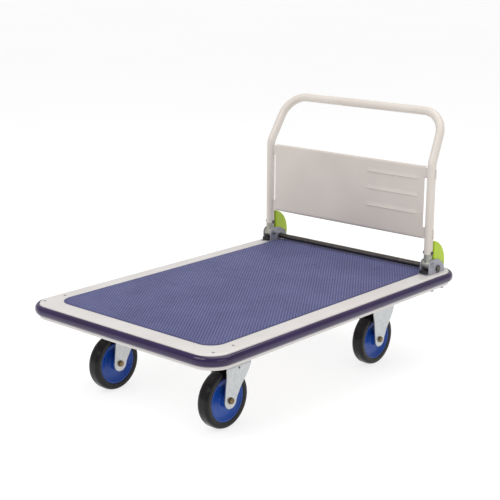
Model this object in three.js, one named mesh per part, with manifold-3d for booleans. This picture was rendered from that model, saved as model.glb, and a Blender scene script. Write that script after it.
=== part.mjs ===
// Platform trolley: pressed steel deck on two swivel and two rigid casters, with a U-shaped push
// handle that folds forward flat over the deck. Millimetres, +Z up, X across the deck, the front
// at -Y and the handle at +Y. The origin is on the floor, under the middle of the deck.

import * as THREE from 'three';
import { mergeVertices } from 'three/addons/utils/BufferGeometryUtils.js';
import Module from 'manifold-3d';

const wasm = await Module();
wasm.setup();

// ---- driving dimensions -------------------------------------------------------------------

const GAP = 0.3;                 // clearance left between pieces that touch
const THROUGH = 40;              // how far a cutting tool reaches past the middle of its work

const DECK_WIDTH = 790;          // over the bumper
const DECK_LENGTH = 1230;        // over the bumper
const DECK_CORNER = 81;          // plan radius of the bumper's outer face
const CORNER_STEPS = 12;         // facets around each corner of the deck
const DECK_TOP = 298.5;
const DECK_BOTTOM = 252;
const SHEET = 2;                 // deck sheet thickness
const DECK_RETURN = 16;          // width of the flange turned in along the lower edge
const BUMPER_DEPTH = 13;         // how far the bumper stands out of the deck wall
const BUMPER_HEIGHT = 31;
const BUMPER_MIDDLE = 278.5;
const MAT_WIDTH = 648;
const MAT_LENGTH = 1084;
const MAT_MIDDLE = -2;           // the mat lies a little ahead of the deck's middle
const MAT_CORNER = 52;
const MAT_TOP = 301;

const MOUNT_HEIGHT = 232;        // floor to the top of a caster's plate
const CHANNEL_WIDTH = 134;
const CHANNEL_LENGTH = 610;
const CHANNEL_SHEET = 3;
const RAIL_X = 190;
const RAIL_WIDTH = 44;
const RAIL_BOTTOM = 258;

const WHEEL_RADIUS = 88.5;
const WHEEL_SIDES = 28;
const TYRE_WIDTH = 41;
const TYRE_SEAT = 67;            // radius where the tyre sits on the disc
const DISC_WIDTH = 37;
const WEB_HALF = 5;              // half of the thickness of the disc between hub and rim
const HUB_WIDTH = 50;
const HUB_RADIUS = 23;
const BEARING_RADIUS = 15;
const AXLE_RADIUS = 6;
const AXLE_HEAD = 8;             // thickness of the axle bolt's head and nut
const AXLE_HEAD_RADIUS = 10;
const AXLE_NUT_RADIUS = 10.5;
const CASTER_X = 232;
const FRONT_AXLE_Y = -402;
const REAR_AXLE_Y = 333;
const SWIVEL_TRAIL = 40;         // kingpin to front axle
const RIGID_SETBACK = 22;        // rear axle to the middle of its plate
const FORK_INNER = 28;           // middle of the caster to a leg's inner face
const FORK_SHEET = 4;
const FORK_EYE = 25;             // radius of a fork leg around the axle
const FORK_SWEEP = [12, 112];    // the back edge's curve bends about this: in from the back, height
const FORK_BACK_BOTTOM = 182;    // above this the back edge is upright
const SWIVEL_FORK = [14, 50];    // front edge ahead of the axle, back edge behind the kingpin
const RIGID_FORK = [42, 56];     // front edge ahead of the axle, back edge behind the plate's middle
const SKIRT_DROP = 16;           // how far the skirt hangs below a swivel fork's crown
const PLATE_SHEET = 5;
const PLATE_SIZE = [106, 126];
const PLATE_CORNER = 10;
const CROWN_BOTTOM = 189.5;
const DOME_HEIGHT = 14;
const RACE_RADIUS = 36;
const KINGPIN_RADIUS = 7;
const KINGPIN_HEAD = 8;
const KINGPIN_HEAD_RADIUS = 11;

const LEG_X = 342.5;
const TUBE_RADIUS = 14.3;
const TUBE_WALL = 2.2;
const PIVOT = { y: 481, z: 330 };
const BEND_HEIGHT = 665;         // where the legs' lower and upper lines meet
const BEND_RADIUS = 60;
const LEAN = 0.503;              // radians that the upper part leans back
const GRIP_HEIGHT = 823.2;       // middle of the grip
const GRIP_CORNER = 78;
const GRIP_TAPER = 0.08;         // how fast the leaning parts draw together
const TUBE_END = 365.5;

const PANEL_HALF = 318;
const PANEL_BOTTOM = 413.5;
const PANEL_TOP = 656.5;
const PANEL_SHEET = 1.6;
const PANEL_FRONT = 478;
const PANEL_FLANGE = 12;
const TAB_HEIGHT = 38;
const LOWER_TAB_HEIGHT = 44;
const TAB_STOP = 11.5;           // middle of a leg to the end of a tab
const SADDLE_HEIGHT = 30;
const SADDLE_LIFT = 4;           // lower saddle above the panel's lower edge
const SADDLE_SHEET = 2;
const SADDLE_EAR = 27;           // middle of a leg to the end of a saddle's ear
const RIB_LEVELS = [613, 554.5, 496];
const RIB_SPAN = [88, 294];
const RIB_HEIGHT = 13;
const RIB_DEPTH = 3;

const BRACKET_SHEET = 3.1;
const BRACKET_INNER = 15;        // middle of the leg to a side plate
const BRACKET_NOSE = 18;         // radius of a side plate around the pivot
const BRACKET_FRONT = 28;        // pivot to the front of the base
const BRACKET_BACK = 78;         // pivot to the back of the base
const BASE_SHEET = 3;
const BARREL_RADIUS = 16;
const BARREL_ROOM = 0.8;         // clearance left around the barrel
const NECK_RADIUS = 14.2;
const SPIGOT_RADIUS = 11.7;
const SPIGOT_REACH = 22;         // how far the spigot goes into the tube
const SPIGOT_ROOT = 5;           // how far it starts below the tube's end
const HEEL = [[6, -18], [18, -20.5], [26.5, -6], [18, 6]];   // outline, from the pivot
const HEEL_ROOM = { back: 29, top: 9 };          // room for the heel in the cover, from the pivot
const PIN_RADIUS = 6;
const PIN_HEAD = 2.5;
const PIN_HEAD_RADIUS = 9;
const COVER_RADIUS = 81;
const COVER_WALL = 2.4;
const COVER_CLEARANCE = 0.5;     // between the tube and the cover's front
const COVER_DROP = [7, 24];      // lower edge below the pivot, ahead of its step and behind it
const COVER_STEP = [53, 62];     // where the edge steps down behind the release bar
const COVER_BOLT_Z = 370;
const COVER_BOLT_RADIUS = 4;
const COVER_BOLT_HEAD = 4.5;
const COVER_BOLT_HEAD_RADIUS = 6.5;
const STOP_PAD = [27, 13];       // ahead of the pivot, front and back
const ROD_RADIUS = 9;
const ROD_HEAD = 4.5;
const ROD_HEAD_RADIUS = 11;
const ROD = { y: 514, z: 313 };
const ROD_TRAVEL = 8;
const LUG = [537, 540];          // the spring's lug on the bracket, front and back
const LUG_HALF = 8;
const SPRING_RADIUS = 5;
const SPRING_DROP = 2;           // how far the spring sits below the middle of the release bar

// ---- materials ----------------------------------------------------------------------------

const finish = (color, roughness, metalness) =>
  new THREE.MeshStandardMaterial({ color, roughness, metalness });

const cream = finish(0xdcd9d2, 0.38, 0.0);
const beige = finish(0xccc4bb, 0.42, 0.0);
const matVinyl = finish(0x6f7099, 0.6, 0.0);
const bumperVinyl = finish(0x3f3662, 0.25, 0.0);
const zinc = finish(0xbcbec6, 0.35, 0.9);
const greyPaint = finish(0x8f909a, 0.4, 0.4);
const blackRubber = finish(0x1b1a1c, 0.7, 0.0);
const wheelBlue = finish(0x2b55a8, 0.4, 0.0);
const green = finish(0xb4d33c, 0.45, 0.0);
const darkSteel = finish(0x3a3838, 0.45, 0.6);

// ---- solids: make, join and cut -----------------------------------------------------------

function solid(geometry) {
  const bare = geometry.index ? geometry.clone() : geometry;
  bare.deleteAttribute('normal');
  bare.deleteAttribute('uv');
  const merged = mergeVertices(bare, 1e-3);
  return new wasm.Manifold(new wasm.Mesh({
    numProp: 3,
    vertProperties: new Float32Array(merged.attributes.position.array),
    triVerts: new Uint32Array(merged.index.array),
  }));
}

function join(...pieces) {
  return pieces.reduce((sum, piece) => sum.add(piece));
}

function cut(body, ...tools) {
  return tools.reduce((rest, tool) => rest.subtract(tool), body);
}

function surface(body) {
  const mesh = body.getMesh();
  const geometry = new THREE.BufferGeometry();
  geometry.setAttribute('position', new THREE.BufferAttribute(mesh.vertProperties, 3));
  geometry.setIndex(new THREE.BufferAttribute(mesh.triVerts, 1));
  return geometry;
}

function box([x0, x1], [y0, y1], [z0, z1]) {
  const geometry = new THREE.BoxGeometry(x1 - x0, y1 - y0, z1 - z0);
  geometry.translate((x0 + x1) / 2, (y0 + y1) / 2, (z0 + z1) / 2);
  return solid(geometry);
}

// An outline in X and Y, raised from z0 to z1.
function upright(shape, z0, z1, curveSegments = 8) {
  const geometry = new THREE.ExtrudeGeometry(shape, {
    depth: z1 - z0, bevelEnabled: false, curveSegments,
  });
  geometry.translate(0, 0, z0);
  return solid(geometry);
}

// An outline whose first axis is Y and second is Z, carried along X from x0 to x1.
function sideways(shape, x0, x1, curveSegments = 8) {
  const geometry = new THREE.ExtrudeGeometry(shape, {
    depth: x1 - x0, bevelEnabled: false, curveSegments,
  });
  geometry.rotateX(Math.PI / 2);
  geometry.rotateZ(Math.PI / 2);
  geometry.translate(x0, 0, 0);
  return solid(geometry);
}

// A profile of [radius, height] pairs turned about the Z axis, with a flat facing down.
function turned(profile, sides) {
  const points = profile.map(([r, h]) => new THREE.Vector2(r, h));
  const geometry = new THREE.LatheGeometry(points, sides);
  geometry.rotateY(Math.PI / sides);
  geometry.rotateX(Math.PI / 2);
  return solid(geometry);
}

// The same, about an axis along X through (x, y, z); heights count from x.
function turnedAlongX(profile, sides, [x, y, z]) {
  return turned(profile, sides).rotate([0, 90, 0]).translate([x, y, z]);
}

function rodAlongX(radius, x0, x1, y, z, sides = 16) {
  return turnedAlongX([[0, 0], [radius, 0], [radius, x1 - x0], [0, x1 - x0]], sides, [x0, y, z]);
}

// A round cutting tool along X, right through whatever is centred at x.
function borer(radius, x, y, z, sides = 16) {
  return rodAlongX(radius, x - THROUGH, x + THROUGH, y, z, sides);
}

function rodAlongZ(radius, x, y, z0, z1, sides = 16) {
  return turned([[0, z0], [radius, z0], [radius, z1], [0, z1]], sides).translate([x, y, 0]);
}

function roundedRectangle(width, length, radius) {
  const [a, b] = [width / 2, length / 2];
  const shape = new THREE.Shape();
  shape.moveTo(a - radius, -b);
  shape.absarc(a - radius, -b + radius, radius, -Math.PI / 2, 0, false);
  shape.absarc(a - radius, b - radius, radius, 0, Math.PI / 2, false);
  shape.absarc(-a + radius, b - radius, radius, Math.PI / 2, Math.PI, false);
  shape.absarc(-a + radius, -b + radius, radius, Math.PI, 1.5 * Math.PI, false);
  return shape;
}

function polygon(points) {
  return new THREE.Shape(points.map(([u, v]) => new THREE.Vector2(u, v)));
}

function ring(profile) {
  return [...profile, profile[0]];
}

// A profile's upper half, given from its end inwards, joined to the same half turned over.
function evenRod(side) {
  return [...side.map(([r, h]) => [r, -h]), ...[...side].reverse()];
}

// The same, closed: the upper half is given from the ring's inside to its outside.
function evenRing(side) {
  return ring(evenRod(side));
}

// ---- the assembly -------------------------------------------------------------------------

const trolley = new THREE.Group();
const SIDES = [['left', -1], ['right', 1]];

function place(group, name, body, material) {
  const mesh = new THREE.Mesh(surface(body), material);
  mesh.name = name;
  group.add(mesh);
}

// ---- deck ---------------------------------------------------------------------------------

const WALL_WIDTH = DECK_WIDTH - 2 * BUMPER_DEPTH;
const WALL_LENGTH = DECK_LENGTH - 2 * BUMPER_DEPTH;
const WALL_CORNER = DECK_CORNER - BUMPER_DEPTH;

function deckOutline(inset) {
  return roundedRectangle(WALL_WIDTH - 2 * inset, WALL_LENGTH - 2 * inset, WALL_CORNER - inset);
}

function deckPan() {
  return cut(
    upright(deckOutline(0), DECK_BOTTOM, DECK_TOP, CORNER_STEPS / 2),
    upright(deckOutline(SHEET), DECK_BOTTOM + SHEET, DECK_TOP - SHEET, CORNER_STEPS / 2),
    upright(deckOutline(DECK_RETURN), DECK_BOTTOM - 1, DECK_BOTTOM + SHEET + 1, CORNER_STEPS / 2),
  );
}

// A closed profile of [distance out of the wall, height] pairs, carried around the deck wall.
function aroundDeck(profile) {
  const [centreX, centreY] = [WALL_WIDTH / 2 - WALL_CORNER, WALL_LENGTH / 2 - WALL_CORNER];
  const corners = [[1, -1, -0.5], [1, 1, 0], [-1, 1, 0.5], [-1, -1, 1]];
  const positions = [];
  for (const [sideX, sideY, start] of corners) {
    for (let i = 0; i <= CORNER_STEPS; i += 1) {
      const angle = Math.PI * (start + i / (2 * CORNER_STEPS));
      for (const [out, height] of profile) {
        positions.push(
          sideX * centreX + (WALL_CORNER + out) * Math.cos(angle),
          sideY * centreY + (WALL_CORNER + out) * Math.sin(angle),
          height,
        );
      }
    }
  }
  return solid(loft(positions, profile.length, true));
}

// A skin over rings of equally many points; closed rings of rings, or capped at both ends.
function loft(positions, sides, closed) {
  const rings = positions.length / 3 / sides;
  const faces = [];
  for (let i = 0; i < (closed ? rings : rings - 1); i += 1) {
    for (let k = 0; k < sides; k += 1) {
      const [a, b] = [i * sides + k, i * sides + ((k + 1) % sides)];
      const [c, d] = [a, b].map((corner) => (corner + sides) % (rings * sides));
      faces.push(a, b, d, a, d, c);
    }
  }
  const last = (rings - 1) * sides;
  for (let k = 1; !closed && k < sides - 1; k += 1) {
    faces.push(0, k + 1, k, last, last + k, last + k + 1);
  }
  const geometry = new THREE.BufferGeometry();
  geometry.setAttribute('position', new THREE.Float32BufferAttribute(positions, 3));
  geometry.setIndex(faces);
  return geometry;
}

// Half-oval vinyl strip around the deck wall.
function bumper() {
  const steps = 8;
  const profile = [];
  for (let i = 0; i <= steps; i += 1) {
    const angle = (Math.PI * i) / steps;
    profile.push([
      GAP + (BUMPER_DEPTH - GAP) * Math.sin(angle),
      BUMPER_MIDDLE + (BUMPER_HEIGHT / 2) * Math.cos(angle),
    ]);
  }
  return aroundDeck(profile);
}

const deck = new THREE.Group();
trolley.add(deck);
place(deck, 'deck_pan', deckPan(), cream);
place(deck, 'bumper', bumper(), bumperVinyl);
place(
  deck, 'deck_mat',
  upright(roundedRectangle(MAT_WIDTH, MAT_LENGTH, MAT_CORNER), DECK_TOP + GAP, MAT_TOP)
    .translate([0, MAT_MIDDLE, 0]),
  matVinyl,
);

// ---- underframe ---------------------------------------------------------------------------

const UNDERSIDE = DECK_TOP - SHEET - GAP;
const KINGPIN_Y = FRONT_AXLE_Y + SWIVEL_TRAIL;
const RIGID_Y = REAR_AXLE_Y + RIGID_SETBACK;

// A channel with its web below and its flanges up, open at the ends if ends is below 0.
function trough([x0, x1], [y0, y1], [z0, z1], sheet, ends = sheet) {
  return cut(
    box([x0, x1], [y0, y1], [z0, z1]),
    box([x0 + ends, x1 - ends], [y0 + sheet, y1 - sheet], [z0 + sheet, z1 + 1]),
  );
}

for (const [name, y] of [['front', KINGPIN_Y], ['rear', RIGID_Y]]) {
  place(deck, `${name}_cross_channel`, trough(
    [-CHANNEL_LENGTH / 2, CHANNEL_LENGTH / 2],
    [y - CHANNEL_WIDTH / 2, y + CHANNEL_WIDTH / 2],
    [MOUNT_HEIGHT, UNDERSIDE], CHANNEL_SHEET, -1,
  ), cream);
}

for (const [side, sign] of SIDES) {
  place(deck, `deck_rail_${side}`, trough(
    [sign * RAIL_X - RAIL_WIDTH / 2, sign * RAIL_X + RAIL_WIDTH / 2],
    [KINGPIN_Y + CHANNEL_WIDTH / 2 + GAP, RIGID_Y - CHANNEL_WIDTH / 2 - GAP],
    [RAIL_BOTTOM, UNDERSIDE], SHEET,
  ), cream);
}

// ---- wheels -------------------------------------------------------------------------------

const FACET = 1 / Math.cos(Math.PI / WHEEL_SIDES);   // corner radius over flat radius

function tyre(centre) {
  const half = TYRE_WIDTH / 2;
  const side = [
    [TYRE_SEAT + GAP, half - 3], [TYRE_SEAT + 10, half], [WHEEL_RADIUS - 8, half],
    [WHEEL_RADIUS - 2, half - 5], [WHEEL_RADIUS, half - 13],
  ];
  return turnedAlongX(evenRing(side.map(([r, h]) => [r * FACET, h])), WHEEL_SIDES, centre);
}

function wheelDisc(centre) {
  const [hub, rim] = [HUB_WIDTH / 2, DISC_WIDTH / 2];
  return turnedAlongX(evenRing([
    [BEARING_RADIUS + GAP, hub], [HUB_RADIUS, hub], [HUB_RADIUS + 4, WEB_HALF],
    [TYRE_SEAT - 11, WEB_HALF], [TYRE_SEAT - 4, rim], [TYRE_SEAT, rim],
  ]), WHEEL_SIDES, centre);
}

function hubBearing(centre) {
  const half = HUB_WIDTH / 2;
  return turnedAlongX(evenRing([[AXLE_RADIUS + GAP, half], [BEARING_RADIUS, half]]), 16, centre);
}

// Bolt through both fork legs, with its head on one side and its nut on the other.
function axle(centre) {
  const reach = FORK_INNER + FORK_SHEET + GAP;
  const end = reach + AXLE_HEAD;
  return turnedAlongX([
    [0, -end], [AXLE_HEAD_RADIUS, -end], [AXLE_HEAD_RADIUS, -reach], [AXLE_RADIUS, -reach],
    [AXLE_RADIUS, reach], [AXLE_NUT_RADIUS, reach], [AXLE_NUT_RADIUS, end], [0, end],
  ], 12, centre);
}

function addWheel(parent, name, centre) {
  place(parent, `tyre_${name}`, tyre(centre), blackRubber);
  place(parent, `wheel_disc_${name}`, wheelDisc(centre), wheelBlue);
  place(parent, `hub_bearing_${name}`, hubBearing(centre), darkSteel);
  place(parent, `axle_bolt_${name}`, axle(centre), darkSteel);
}

// ---- forks --------------------------------------------------------------------------------

// Side view of a fork leg: round about the axle, steep in front, swept out behind.
function forkLeg(axleY, top, frontTop, rearTop) {
  const shape = new THREE.Shape();
  shape.moveTo(frontTop, top);
  shape.lineTo(axleY - FORK_EYE, WHEEL_RADIUS);
  shape.absarc(axleY, WHEEL_RADIUS, FORK_EYE, Math.PI, 1.75 * Math.PI, false);
  shape.quadraticCurveTo(rearTop - FORK_SWEEP[0], FORK_SWEEP[1], rearTop, FORK_BACK_BOTTOM);
  shape.lineTo(rearTop, top);
  return shape;
}

function forkLegs(x, axleY, top, frontTop, rearTop) {
  const outline = forkLeg(axleY, top, frontTop, rearTop);
  const legs = [-FORK_INNER - FORK_SHEET, FORK_INNER].map(
    (inner) => sideways(outline, x + inner, x + inner + FORK_SHEET, 6),
  );
  return cut(join(...legs), borer(AXLE_RADIUS + GAP, x, axleY, WHEEL_RADIUS, 12));
}

// The fork's back skirt, which ties the legs together behind the wheel.
function skirt(x, rearTop, top) {
  const half = FORK_INNER + FORK_SHEET;
  const low = CROWN_BOTTOM - SKIRT_DROP;
  return box([x - half, x + half], [rearTop - FORK_SHEET, rearTop], [low, top]);
}

function kingpinBore(x, middle) {
  return rodAlongZ(KINGPIN_RADIUS + GAP, x, KINGPIN_Y, middle - THROUGH, middle + THROUGH);
}

// The rounded plate that bolts a caster to its channel.
function topPlate(x, y, top) {
  const outline = roundedRectangle(PLATE_SIZE[0], PLATE_SIZE[1], PLATE_CORNER);
  return upright(outline, top - PLATE_SHEET, top, 3).translate([x, y, 0]);
}

function swivelFork(x) {
  const [front, rear] = [FRONT_AXLE_Y - SWIVEL_FORK[0], KINGPIN_Y + SWIVEL_FORK[1]];
  const half = FORK_INNER + FORK_SHEET;
  const crownTop = CROWN_BOTTOM + PLATE_SHEET;
  const crown = box([x - half, x + half], [front, rear], [CROWN_BOTTOM, crownTop]);
  const dome = turned([
    [0, crownTop - 1], [RACE_RADIUS - 4, crownTop - 1], [RACE_RADIUS - 4, crownTop + 6],
    [RACE_RADIUS - 10, crownTop + DOME_HEIGHT], [0, crownTop + DOME_HEIGHT],
  ], 20).translate([x, KINGPIN_Y, 0]);
  const legs = forkLegs(x, FRONT_AXLE_Y, crownTop, front, rear);
  const bore = kingpinBore(x, CROWN_BOTTOM);
  return cut(join(crown, dome, legs, skirt(x, rear, crownTop)), bore);
}

function rigidFork(x) {
  const top = MOUNT_HEIGHT - GAP;
  const [front, rear] = [REAR_AXLE_Y - RIGID_FORK[0], RIGID_Y + RIGID_FORK[1]];
  const legs = forkLegs(x, REAR_AXLE_Y, top - 1, front, rear);
  return join(topPlate(x, RIGID_Y, top), legs, skirt(x, rear, top - 1));
}

function swivelPlate(x) {
  const top = MOUNT_HEIGHT - GAP;
  return cut(topPlate(x, KINGPIN_Y, top), kingpinBore(x, top));
}

function swivelRace(x) {
  const low = CROWN_BOTTOM + PLATE_SHEET + DOME_HEIGHT + GAP;
  const high = MOUNT_HEIGHT - PLATE_SHEET - 2 * GAP;
  return turned(ring([
    [KINGPIN_RADIUS + GAP, low], [RACE_RADIUS - 6, low], [RACE_RADIUS, low + 4],
    [RACE_RADIUS, high], [KINGPIN_RADIUS + GAP, high],
  ]), 24).translate([x, KINGPIN_Y, 0]);
}

function kingpin(x) {
  const [head, top] = [CROWN_BOTTOM - GAP, MOUNT_HEIGHT - 1];
  const low = head - KINGPIN_HEAD;
  return turned([
    [0, low], [KINGPIN_HEAD_RADIUS - 2, low], [KINGPIN_HEAD_RADIUS, low + 2],
    [KINGPIN_HEAD_RADIUS, head], [KINGPIN_RADIUS, head], [KINGPIN_RADIUS, top], [0, top],
  ], 16).translate([x, KINGPIN_Y, 0]);
}

for (const [side, sign] of SIDES) {
  const x = sign * CASTER_X;
  const front = new THREE.Group();
  const rear = new THREE.Group();
  trolley.add(front, rear);
  place(front, `swivel_plate_${side}`, swivelPlate(x), zinc);
  place(front, `kingpin_${side}`, kingpin(x), darkSteel);
  place(front, `swivel_race_${side}`, swivelRace(x), zinc);
  place(front, `swivel_fork_${side}`, swivelFork(x), zinc);
  addWheel(front, `front_${side}`, [x, FRONT_AXLE_Y, WHEEL_RADIUS]);
  place(rear, `rigid_fork_${side}`, rigidFork(x), zinc);
  addWheel(rear, `rear_${side}`, [x, REAR_AXLE_Y, WHEEL_RADIUS]);
}

// ---- handle -------------------------------------------------------------------------------

// The leg's side view: straight up, an arc, then straight and leaning back. Returns the point
// [y, z] at a given distance along the leg from its lower end.
const BEND_TANGENT = BEND_RADIUS * Math.tan(LEAN / 2);
const BEND_START = BEND_HEIGHT - BEND_TANGENT;
const ARC_LENGTH = BEND_RADIUS * LEAN;
const LEAN_START = BEND_START - TUBE_END + ARC_LENGTH;
const LEAN_TOP = LEAN_START + (GRIP_HEIGHT - BEND_HEIGHT) / Math.cos(LEAN) - BEND_TANGENT;

function alongLeg(distance) {
  const straight = BEND_START - TUBE_END;
  if (distance <= straight) {
    return [PIVOT.y, TUBE_END + distance];
  }
  const turn = Math.min((distance - straight) / BEND_RADIUS, LEAN);
  const beyond = Math.max(distance - LEAN_START, 0);
  return [
    PIVOT.y + BEND_RADIUS * (1 - Math.cos(turn)) + beyond * Math.sin(LEAN),
    BEND_START + BEND_RADIUS * Math.sin(turn) + beyond * Math.cos(LEAN),
  ];
}

// How far a leg is drawn in towards the middle: nothing below the bend, then a steady taper that
// starts gently along the bend's arc.
function drawIn(distance) {
  const beyond = Math.max(distance - (BEND_START - TUBE_END), 0);
  const eased = beyond < ARC_LENGTH ? beyond ** 2 / (2 * ARC_LENGTH) : beyond - ARC_LENGTH / 2;
  return GRIP_TAPER * eased;
}

// One point of the tube's middle line for each of [distance across, distance along a leg].
function handleLine() {
  const corner = LEAN_TOP - GRIP_CORNER;
  const half = [[LEG_X, 0], [LEG_X, BEND_START - TUBE_END]];
  for (let i = 1; i <= 4; i += 1) {
    half.push([LEG_X, BEND_START - TUBE_END + (ARC_LENGTH * i) / 4]);
  }
  for (let i = 0; i <= 6; i += 1) {
    const turn = (Math.PI / 2) * (i / 6);
    half.push([
      LEG_X - GRIP_CORNER * (1 - Math.cos(turn)), corner + GRIP_CORNER * Math.sin(turn),
    ]);
  }
  const line = half.map(([x, s]) => [x - drawIn(s), s]);
  const other = line.map(([x, s]) => [-x, s]).reverse();
  return [...line, ...other].map(([x, s]) => new THREE.Vector3(x, ...alongLeg(s)));
}

// A round section carried along a line of points, mitred at each, with both ends square.
function sweep(points, radius, sides) {
  const positions = [];
  const across = new THREE.Vector3();
  points.forEach((point, i) => {
    const before = point.clone().sub(points[Math.max(i - 1, 0)]).normalize();
    const after = points[Math.min(i + 1, points.length - 1)].clone().sub(point).normalize();
    const along = before.add(after).normalize();
    if (i === 0) {
      across.set(0, 1, 0);
    }
    across.addScaledVector(along, -across.dot(along)).normalize();
    const third = new THREE.Vector3().crossVectors(along, across);
    for (let k = 0; k < sides; k += 1) {
      const angle = (2 * Math.PI * k) / sides;
      const ringPoint = point.clone()
        .addScaledVector(across, radius * Math.cos(angle))
        .addScaledVector(third, radius * Math.sin(angle));
      positions.push(ringPoint.x, ringPoint.y, ringPoint.z);
    }
  });
  return solid(loft(positions, sides, false));
}

function coverBoltBore(x) {
  return borer(COVER_BOLT_RADIUS + GAP, x, PIVOT.y, COVER_BOLT_Z, 10);
}

function handleTube() {
  const line = handleLine();
  const longer = [...line];
  for (const end of [0, line.length - 1]) {
    longer[end] = line[end].clone().setZ(TUBE_END - 5);
  }
  const outer = sweep(line, TUBE_RADIUS, 16);
  const bore = sweep(longer, TUBE_RADIUS - TUBE_WALL, 12);
  const bolts = SIDES.map(([, sign]) => coverBoltBore(sign * LEG_X));
  return cut(outer, bore, ...bolts);
}

// A louvre pressed out of the panel's face, deepest along its lower edge.
function panelRib(level) {
  const [front, back] = [PANEL_FRONT, PANEL_FRONT + PANEL_SHEET];
  return sideways(polygon([
    [front, level], [front - RIB_DEPTH, level], [front, level + RIB_HEIGHT],
    [back, level + RIB_HEIGHT], [back, level],
  ]), ...RIB_SPAN);
}

function handlePanel() {
  const [front, back] = [PANEL_FRONT, PANEL_FRONT + PANEL_SHEET];
  const flangeBack = PANEL_FRONT + PANEL_FLANGE;
  const across = [-PANEL_HALF, PANEL_HALF];
  const acrossTabs = [-LEG_X + TAB_STOP, LEG_X - TAB_STOP];
  const pieces = [
    box(across, [front, back], [PANEL_BOTTOM, PANEL_TOP]),
    box(across, [front, flangeBack], [PANEL_TOP - PANEL_SHEET, PANEL_TOP]),
    box(across, [front, flangeBack], [PANEL_BOTTOM, PANEL_BOTTOM + PANEL_SHEET]),
    box(acrossTabs, [front, back], [PANEL_BOTTOM, PANEL_BOTTOM + LOWER_TAB_HEIGHT]),
    box(acrossTabs, [front, back], [PANEL_TOP - TAB_HEIGHT, PANEL_TOP]),
    ...RIB_LEVELS.map(panelRib),
  ];
  const tubes = SIDES.map(([, sign]) => rodAlongZ(
    TUBE_RADIUS + GAP, sign * LEG_X, PIVOT.y, PANEL_BOTTOM - THROUGH, PANEL_TOP + THROUGH,
  ));
  return cut(join(...pieces), ...tubes);
}

// A saddle that wraps the back of a leg behind one of the panel's corner tabs.
function panelSaddle(sign, low) {
  const [x, high] = [sign * LEG_X, low + SADDLE_HEIGHT];
  const bore = rodAlongZ(TUBE_RADIUS + GAP, x, PIVOT.y, low - 1, high + 1);
  const front = PANEL_FRONT + PANEL_SHEET + GAP;
  const shell = cut(
    rodAlongZ(TUBE_RADIUS + GAP + SADDLE_SHEET, x, PIVOT.y, low, high),
    box([x - THROUGH, x + THROUGH], [PIVOT.y - THROUGH, front], [low - 1, high + 1]),
  );
  const ends = [x - sign * SADDLE_EAR, x - sign * (TUBE_RADIUS - SADDLE_SHEET)];
  const ear = box(ends.sort((p, q) => p - q), [front, front + SADDLE_SHEET], [low, high]);
  return cut(join(shell, ear), bore);
}

function pinBore(x) {
  return borer(PIN_RADIUS + GAP, x, PIVOT.y, PIVOT.z);
}

function barrelBore(x) {
  return borer(BARREL_RADIUS + BARREL_ROOM, x, PIVOT.y, PIVOT.z, 24);
}

function handleFoot(x) {
  const half = BRACKET_INNER - 2 * GAP;
  const barrel = rodAlongX(BARREL_RADIUS, x - half, x + half, PIVOT.y, PIVOT.z, 24);
  const neck = rodAlongZ(NECK_RADIUS, x, PIVOT.y, PIVOT.z, TUBE_END - GAP);
  const spigot = rodAlongZ(
    SPIGOT_RADIUS, x, PIVOT.y, TUBE_END - SPIGOT_ROOT, TUBE_END + SPIGOT_REACH,
  );
  const heel = sideways(
    polygon(HEEL.map(([y, z]) => [PIVOT.y + y, PIVOT.z + z])), x - half, x + half,
  );
  return cut(join(barrel, neck, spigot, heel), pinBore(x), coverBoltBore(x));
}

function footBolt(x) {
  const reach = TUBE_RADIUS + GAP;
  const [end, rim] = [reach + COVER_BOLT_HEAD, COVER_BOLT_HEAD_RADIUS];
  return turnedAlongX(evenRod([
    [0, end], [rim - 1.5, end], [rim, end - 1.5], [rim, reach], [COVER_BOLT_RADIUS, reach],
  ]), 12, [x, PIVOT.y, COVER_BOLT_Z]);
}

// Quarter-round guard behind the foot, concentric with the pivot, open below. Its
// lower edge steps up over the release bar.
function coverOutline(radius, front, extraDrop) {
  const shape = new THREE.Shape();
  const [frontDrop, rearDrop] = COVER_DROP.map((drop) => drop + extraDrop);
  const [start, end] = [Math.acos(front / radius), -Math.asin(rearDrop / radius)];
  shape.absarc(PIVOT.y, PIVOT.z, radius, start, end, true);
  shape.lineTo(PIVOT.y + COVER_STEP[1], PIVOT.z - rearDrop);
  shape.lineTo(PIVOT.y + COVER_STEP[0], PIVOT.z - frontDrop);
  shape.lineTo(PIVOT.y + front, PIVOT.z - frontDrop);
  return shape;
}

function hingeCover(x) {
  const [half, inner] = [NECK_RADIUS, NECK_RADIUS - COVER_WALL];
  const front = TUBE_RADIUS + COVER_CLEARANCE;
  const opening = 16;
  const body = sideways(coverOutline(COVER_RADIUS, front, 0), x - half, x + half, 10);
  const hollow = sideways(
    coverOutline(COVER_RADIUS - COVER_WALL, front + COVER_WALL, opening), x - inner, x + inner, 10,
  );
  const heelRoom = box(
    [x - THROUGH, x + THROUGH], [PIVOT.y, PIVOT.y + HEEL_ROOM.back],
    [PIVOT.z - THROUGH, PIVOT.z + HEEL_ROOM.top],
  );
  return cut(body, hollow, barrelBore(x), heelRoom);
}

// ---- hinge brackets, fixed to the deck ----------------------------------------------------

const BRACKET_BASE = DECK_TOP + GAP;

// A side plate: round about the pivot, level over the release bar, then falling to the deck.
function bracketPlate() {
  const { y, z } = PIVOT;
  const shape = new THREE.Shape();
  shape.moveTo(y - BRACKET_NOSE, BRACKET_BASE);
  shape.lineTo(y - BRACKET_NOSE, z);
  shape.absarc(y, z, BRACKET_NOSE, Math.PI, Math.PI / 2, true);
  shape.lineTo(y + 24, z + BRACKET_NOSE - 1);
  shape.quadraticCurveTo(y + 48, z + BRACKET_NOSE - 4, y + BRACKET_BACK - 10, z - 8);
  shape.lineTo(y + BRACKET_BACK, BRACKET_BASE);
  return shape;
}

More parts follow.
